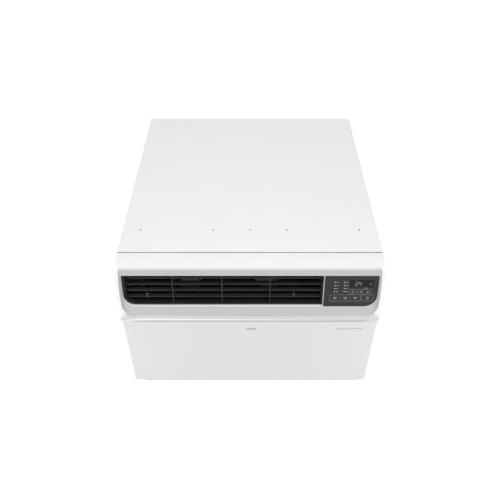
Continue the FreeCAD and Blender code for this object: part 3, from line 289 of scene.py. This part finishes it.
def make_materials():
    return {
        "case_white": surface("powder_coated_steel", CASE_WHITE, 0.42, 750.0, 0.00005),
        "grille_white": surface("moulded_white_plastic", GRILLE_WHITE, 0.34, 1500.0, 0.00003,
                                coat=0.12),
        # Painted shade on the tilted face.
        "face_painted_shade": shaded_face_finish("face_plastic_painted_shade", False),
        # Painted shade on the tilted face and on the outlet's lip.
        "lip_painted_shade": shaded_face_finish("lip_plastic_painted_shade", True),
        # Painted shade on the scoop's step.
        "scoop_painted_shade": surface("scoop_plastic_painted_shade", SCOOP_PAINTED_SHADE, 0.4, 1500.0, 0.00003),
        # Painted shade: a darker copy of the white plastic for the upright lower panel.
        "lower_white_painted_shade": surface("panel_plastic_painted_shade", PANEL_SHADED_WHITE, 0.36, 1500.0, 0.00003,
                               spread_by=0.015, coat=0.1, contrast=0.006),
        "outlet_black": surface("outlet_black_plastic", (0.012, 0.012, 0.013), 0.55, 1400.0, 0.00005),
        "blade_black": surface("blade_black_plastic", (0.02, 0.02, 0.021), 0.38, 1400.0, 0.00004),
        "panel_dark": surface("panel_dark_gloss", (0.02, 0.021, 0.023), 0.4, 1800.0, 0.00002,
                              coat=0.05, specular=0.28),
        "key_dark": surface("key_dark_plastic", (0.022, 0.023, 0.025), 0.42, 1800.0, 0.00002, specular=0.28),
        "display_smoke": surface("smoked_display", (0.008, 0.009, 0.011), 0.3, 1800.0, 0.00001,
                                 specular=0.2),
        "light_lens": surface("clear_lens", (0.4, 0.41, 0.42), 0.2, 1800.0, 0.00001, coat=0.5),
        "board_green": surface("circuit_board", (0.02, 0.12, 0.05), 0.35, 600.0, 0.00008, contrast=0.3),
        "galvanised": surface("galvanised_steel", (0.52, 0.54, 0.56), 0.4, 90.0, 0.00004, metallic=0.9,
                              contrast=0.18),
        "steel": surface("plated_steel", (0.56, 0.56, 0.57), 0.28, 500.0, 0.00004, metallic=1.0,
                         contrast=0.08),
        "fin_aluminium": surface("fin_foil", (0.62, 0.64, 0.66), 0.33, 500.0, 0.00005, metallic=0.85,
                                 stretch=(1, 1, 0.05), contrast=0.1),
        "copper": surface("copper_tube", (0.7, 0.33, 0.2), 0.3, 400.0, 0.00005, metallic=1.0,
                          contrast=0.15),
        "black_paint": surface("black_enamel", (0.014, 0.014, 0.015), 0.3, 300.0, 0.00008, coat=0.25),
        "rubber": surface("black_rubber", (0.018, 0.018, 0.018), 0.75, 800.0, 0.00008),
        "fan_grey": surface("fan_grey_plastic", (0.14, 0.145, 0.15), 0.5, 900.0, 0.00005),
        "foam_white": surface("expanded_foam", (0.72, 0.72, 0.7), 0.8, 420.0, 0.0003, contrast=0.06),
        "filter_plastic": surface("filter_frame_plastic", (0.08, 0.082, 0.088), 0.5, 1200.0, 0.00005),
        "filter_mesh": surface("filter_weave", (0.05, 0.052, 0.058), 0.7, 2200.0, 0.0001, contrast=0.2),
        "ink": surface("printed_ink", (0.36, 0.37, 0.38), 0.5, 1800.0, 0.00001),
        "ink_dim": surface("printed_outline", (0.27, 0.275, 0.28), 0.5, 1800.0, 0.00001),
        "badge": surface("satin_grey_badge", (0.42, 0.43, 0.44), 0.35, 900.0, 0.00002, metallic=0.4),
    }


MATERIALS = make_materials()

# Nodes whose finish differs from their slot's; the lower panel's is a darker copy of the white plastic,
# painted shade for its upright front.
FINISH_OF = {"inlet_panel": "lower_white_painted_shade"}


def finish_cad_nodes():
    for name, node in NODES.items():
        node.data.materials.clear()
        node.data.materials.append(MATERIALS[FINISH_OF.get(name, SLOT_OF[name])])
    paint_face_shade(NODES["front_grille"].data)


def paint_face_shade(mesh):
    """Paints shade on the recessed face and its rolled lip, set apart from the brow, and on the scoop below.
    """
    slots = {}
    for name in ("face_painted_shade", "scoop_painted_shade", "lip_painted_shade"):
        slots[name] = len(mesh.materials)
        mesh.materials.append(MATERIALS[name])
    upright = FACE.inverted()
    for polygon in mesh.polygons:
        place = upright @ polygon.center
        if abs(place.x) > FACE_HALF:
            continue
        if place.z < -LIP_DEPTH and OUTLET_LOW < place.y < OUTLET_HIGH:
            polygon.material_index = slots["lip_painted_shade"]
        elif place.z < FACE_SKIN and place.y > -FACE_LENGTH - FACE_SKIN:
            polygon.material_index = slots["face_painted_shade"]
        # Painted shade on the scoop's step at the face's foot.
        elif place.z < SCOOP_RISE and -FACE_LENGTH - SCOOP_LENGTH < place.y <= -FACE_LENGTH + SCOOP_LENGTH:
            polygon.material_index = slots["scoop_painted_shade"]


# ---------------------------------------------------------------- pieces on the face

def below(drop):
    """Height on the face of a point that lies so many millimetres below the top plate."""
    return -(drop / 1000 - FACE_TOP[1]) * FACE_LENGTH / FACE_RISE


def mesh_piece(name, build, material, body):
    work = bmesh.new()
    build(work)
    bmesh.ops.recalc_face_normals(work, faces=work.faces)
    mesh = bpy.data.meshes.new(name)
    work.to_mesh(mesh)
    work.free()
    piece = bpy.data.objects.new(name, mesh)
    bpy.context.scene.collection.objects.link(piece)
    mesh.materials.append(MATERIALS[material])
    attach(piece, body)
    return piece


def loop_points(x, y, radius, segments=6):
    points = []
    corners = [(x[1] - radius, y[1] - radius, 0), (x[0] + radius, y[1] - radius, 90),
               (x[0] + radius, y[0] + radius, 180), (x[1] - radius, y[0] + radius, 270)]
    for centre_x, centre_y, start in corners:
        for step in range(segments + 1):
            angle = math.radians(start + 90 * step / segments)
            points.append((centre_x + radius * math.cos(angle), centre_y + radius * math.sin(angle)))
    return points


def add_prism(work, points, low, high):
    """A closed prism on the face from an outline's points."""
    rings = []
    for z in (low, high):
        rings.append([work.verts.new(FACE @ Vector((x, y, z))) for x, y in points])
    work.faces.new(rings[1])
    work.faces.new(list(reversed(rings[0])))
    count = len(points)
    for index in range(count):
        after = (index + 1) % count
        work.faces.new((rings[0][index], rings[0][after], rings[1][after], rings[1][index]))


def add_frame(work, outer, inner, low, high):
    """A closed ring on the face between two outlines of equal point count."""
    rings = []
    for points, z in ((outer, low), (outer, high), (inner, high), (inner, low)):
        rings.append([work.verts.new(FACE @ Vector((x, y, z))) for x, y in points])
    count = len(outer)
    for turn in range(4):
        one, two = rings[turn], rings[(turn + 1) % 4]
        for index in range(count):
            after = (index + 1) % count
            work.faces.new((one[index], one[after], two[after], two[index]))


def face_box(names):
    """Lowest and highest corners of some nodes together, in the face's own frame."""
    upright = FACE.inverted()
    points = [upright @ vertex.co for name in names for vertex in NODES[name].data.vertices]
    low = Vector([min(point[axis] for point in points) for axis in range(3)])
    high = Vector([max(point[axis] for point in points) for axis in range(3)])
    return low, high


# Keys that share one printed outline, and the radius of its corners.
KEY_GROUPS = ((("key_timer", "key_mode", "key_speed"), 0.0042), (("key_power",), 0.0052),
              (("key_down", "key_up"), 0.0042), (("key_saver",), 0.0042))
OUTLINE_MARGIN = 0.0012
OUTLINE_WIDTH = 0.0006


def key_outlines(work):
    """Thin printed outlines round the key groups."""
    ink = PANEL_FRONT + INK_LIFT
    for names, radius in KEY_GROUPS:
        low, high = face_box(names)
        rings = []
        for inset in (-OUTLINE_MARGIN, OUTLINE_WIDTH - OUTLINE_MARGIN):
            rings.append(loop_points((low.x + inset, high.x - inset), (low.y + inset, high.y - inset),
                                     radius - inset - OUTLINE_MARGIN))
        add_frame(work, *rings, ink, ink + INK_THICK)


def bar(work, x, drop, length, height, low):
    y = below(drop)
    points = loop_points((x - length / 2, x + length / 2), (y - height / 2, y + height / 2),
                         height * LABEL_ROUND, 3)
    add_prism(work, points, low, low + INK_THICK)


# Each key and the kind of mark printed on it.
KEY_MARKS = {"timer": "bars", "mode": "bars", "speed": "bars", "power": "power", "saver": "ring",
             "down": "down", "up": "up"}


def key_centre(name):
    low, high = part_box("key_" + name)
    middle = FACE.inverted() @ ((low + high) / 2)
    return middle.x, middle.y


def key_mark(name, kind):
    def build(work):
        x, y = key_centre(name)
        low = PANEL_FRONT + KEY_PROUD + INK_LIFT
        high = low + INK_THICK
        if kind == "bars":
            for offset, length in KEY_BARS:
                points = loop_points((x - length / 2, x + length / 2),
                                     (y + offset - KEY_BAR_HALF, y + offset + KEY_BAR_HALF),
                                     KEY_BAR_ROUND, 3)
                add_prism(work, points, low, high)
        elif kind in ("up", "down"):
            way = 1 if kind == "up" else -1
            base = y - ARROW_BASE * way
            add_prism(work, [(x - ARROW_HALF, base), (x + ARROW_HALF, base), (x, y + ARROW_TIP * way)],
                      low, high)
        else:
            rings = []
            for half in (RING_HALF[kind], RING_HALF[kind] - RING_WIDTH):
                rings.append(loop_points((x - half, x + half), (y - half, y + half), half * RING_ROUND, 8))
            add_frame(work, *rings, low, high)
            if kind == "power":
                points = loop_points((x - POWER_BAR_HALF, x + POWER_BAR_HALF),
                                     (y + POWER_BAR_SPAN[0], y + POWER_BAR_SPAN[1]),
                                     POWER_BAR_ROUND, 3)
                add_prism(work, points, low + INK_THICK, high + INK_THICK)
    return build


SEGMENTS = {"2": "abged", "4": "fgbc"}
SEGMENT_PLACES = {"a": (0, 1, 1), "g": (0, 0, 1), "d": (0, -1, 1), "f": (-1, 0.5, 0), "b": (1, 0.5, 0),
                  "e": (-1, -0.5, 0), "c": (1, -0.5, 0)}


def digit(work, letter, x, y):
    """One seven-segment figure."""
    low = window_front()
    width, height = FIGURE_SIZE
    for segment in SEGMENTS[letter]:
        place_x, place_y, flat = SEGMENT_PLACES[segment]
        centre_x = x + place_x * width / 2
        centre_y = y + place_y * height / 2
        half_x = (width / 2 - STROKE * STROKE_GAP) if flat else STROKE / 2
        half_y = STROKE / 2 if flat else (height / 4 - STROKE * STROKE_GAP)
        points = loop_points((centre_x - half_x, centre_x + half_x), (centre_y - half_y, centre_y + half_y),
                             STROKE * STROKE_ROUND, 2)
        add_prism(work, points, low, low + INK_THICK)


def window_front():
    return PANEL_FRONT + WINDOW_PROUD + INK_LIFT


def display_figures(work):
    """Two figures and a dot in the display window."""
    y = below(FIGURE_DROP)
    for letter, x in FIGURES:
        digit(work, letter, x, y)
    dot = loop_points(DOT_X, (y - DOT_HALF, y + DOT_HALF), DOT_R, 6)
    add_prism(work, dot, window_front(), window_front() + INK_THICK)


def panel_marks(work):
    """Bars beside the lights, a small sign under the display, and the lines between keys."""
    low = PANEL_FRONT + INK_LIFT
    for x in LIGHTS_X:
        for drop in LIGHT_DROPS:
            bar(work, x + LABEL_OFFSET, drop, *LABEL_SIZE, low)
    sign_y = (below(SIGN_DROPS[1]), below(SIGN_DROPS[0]))
    outer = loop_points(SIGN_X, sign_y, SIGN_ROUNDS[0], 4)
    inner = loop_points((SIGN_X[0] + SIGN_WIDTH, SIGN_X[1] - SIGN_WIDTH),
                        (sign_y[0] + SIGN_WIDTH, sign_y[1] - SIGN_WIDTH), SIGN_ROUNDS[1], 4)
    add_frame(work, outer, inner, low, low + INK_THICK)
    for x in DIVIDERS_X:
        points = loop_points((x - DIVIDER_HALF, x + DIVIDER_HALF),
                             (below(DIVIDER_DROPS[1]), below(DIVIDER_DROPS[0])), DIVIDER_HALF / 2, 2)
        add_prism(work, points, low, low + INK_THICK)


def add_face_pieces():
    mesh_piece("panel_outlines", key_outlines, "ink_dim", "chassis")
    mesh_piece("panel_marks", panel_marks, "ink", "chassis")
    mesh_piece("display_figures", display_figures, "ink", "chassis")
    for name, kind in KEY_MARKS.items():
        mesh_piece("key_mark_" + name, key_mark(name, kind), "ink", "key_%s_body" % name)


def badge(x, z):
    """A plain badge with no lettering, set into its pocket in the lower panel's front."""
    def build(work):
        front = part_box("inlet_panel")[0].y
        radius = (z[1] - z[0]) / 2 * BADGE_ROUND
        points = loop_points(x, z, radius, 8)
        crown = loop_points((x[0] + BADGE_CROWN, x[1] - BADGE_CROWN),
                            (z[0] + BADGE_CROWN, z[1] - BADGE_CROWN), radius - BADGE_CROWN, 8)
        rings = []
        for outline, depth in ((points, BADGE_BACK), (points, BADGE_EDGE), (crown, BADGE_TOP)):
            rings.append([work.verts.new((px, front + depth, pz)) for px, pz in outline])
        work.faces.new(rings[2])
        work.faces.new(list(reversed(rings[0])))
        count = len(points)
        for low, high in ((rings[0], rings[1]), (rings[1], rings[2])):
            for index in range(count):
                after = (index + 1) % count
                work.faces.new((low[index], low[after], high[after], high[index]))
    return build


def seam_shadow_strip(work):
    """A black strip along the top of the lower panel that stands in for the shadow in the seam; it curves
    back with the panel at each end.
    """
    low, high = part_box("inlet_panel")
    profile = []
    for step in range(SHADOW_STRIP_STEPS + 1):
        angle = math.pi * step / SHADOW_STRIP_STEPS
        profile.append((low.y + SHADOW_STRIP_SET + SHADOW_STRIP_WIDTH * (1 - math.cos(angle)) / 2,
                        high.z + SHADOW_STRIP_HEIGHT * math.sin(angle)))
    foot = high.z - SHADOW_STRIP_OVERLAP
    profile += [(low.y + SHADOW_STRIP_SET + SHADOW_STRIP_WIDTH, foot), (low.y + SHADOW_STRIP_SET, foot)]
    reach = SHADOW_STRIP_HALF - PANEL_FLAT
    places = [PANEL_FLAT + reach * step / SHADOW_STRIP_STEPS for step in range(SHADOW_STRIP_STEPS + 1)]
    rings = []
    for x in [-place for place in reversed(places)] + places:
        bow = PANEL_CURVE * ((abs(x) - PANEL_FLAT) / (PANEL_HALF - PANEL_FLAT)) ** 2
        rings.append([work.verts.new((x, y + bow, z)) for y, z in profile])
    work.faces.new(rings[0])
    work.faces.new(list(reversed(rings[-1])))
    count = len(profile)
    for near, far in zip(rings, rings[1:]):
        for index in range(count):
            after = (index + 1) % count
            work.faces.new((near[index], near[after], far[after], far[index]))


# ---------------------------------------------------------------- stage

def make_camera():
    data = bpy.data.cameras.new("camera")
    data.lens = CAMERA_LENS
    data.sensor_width = SENSOR_WIDTH
    camera = bpy.data.objects.new("camera", data)
    camera.location = CAMERA_PLACE
    camera.rotation_euler = (math.radians(CAMERA_TILT), 0.0, 0.0)
    bpy.context.scene.collection.objects.link(camera)
    bpy.context.scene.camera = camera


def make_floor():
    bpy.ops.mesh.primitive_plane_add(size=FLOOR_SIZE, location=(0, 0, -FLOOR_DROP))
    floor = bpy.context.object
    floor.name = "floor"
    material, _, shader = new_material("pale_floor", (0.3, 0.3, 0.3), 0.9, specular=0.0)
    shader.inputs["Emission Color"].default_value = (1, 1, 1, 1)
    shader.inputs["Emission Strength"].default_value = FLOOR_GLOW
    floor.data.materials.append(material)


def area_light(name, place, target, size, power, spread_angle=180.0):
    data = bpy.data.lights.new(name, "AREA")
    data.spread = math.radians(spread_angle)
    data.shape = "RECTANGLE"
    data.size, data.size_y = size
    data.energy = power
    light = bpy.data.objects.new(name, data)
    light.location = place
    light.rotation_euler = (Vector(target) - Vector(place)).to_track_quat("-Z", "Y").to_euler()
    bpy.context.scene.collection.objects.link(light)


def make_lights():
    area_light("overhead", place=(0.0, -0.9, 1.9), target=(0, -0.35, 0.35), size=(2.2, 0.9), power=13.0)
    for side in (-1, 1):
        area_light("side_strip_%d" % (side + 1), place=(side * 0.8, -0.95, 0.12),
                   target=(side * 0.3, -0.385, 0.12), size=(0.25, 0.4), power=0.32, spread_angle=90.0)
    area_light("rear_soft", place=(0.0, 2.4, 1.2), target=(0, 0.3, 0.2), size=(2.4, 1.2), power=4.0)
    world = bpy.data.worlds.new("studio")
    world.use_nodes = True
    world.node_tree.nodes["Background"].inputs["Color"].default_value = (1, 1, 1, 1)
    world.node_tree.nodes["Background"].inputs["Strength"].default_value = WORLD_GLOW
    bpy.context.scene.world = world
    bpy.context.scene.view_settings.view_transform = "Standard"


def main():
    finish_cad_nodes()
    make_camera()
    add_face_pieces()
    mesh_piece("panel_badge", badge(*BADGE_PLACE), "badge", "panel")
    mesh_piece("panel_strip", badge(*STRIP_PLACE), "badge", "panel")
    # Painted shadow: a black strip that stands in for the shadow in the seam above the lower panel.
    mesh_piece("seam_shadow_strip", seam_shadow_strip, "rubber", "panel")
    make_floor()
    make_lights()


main()
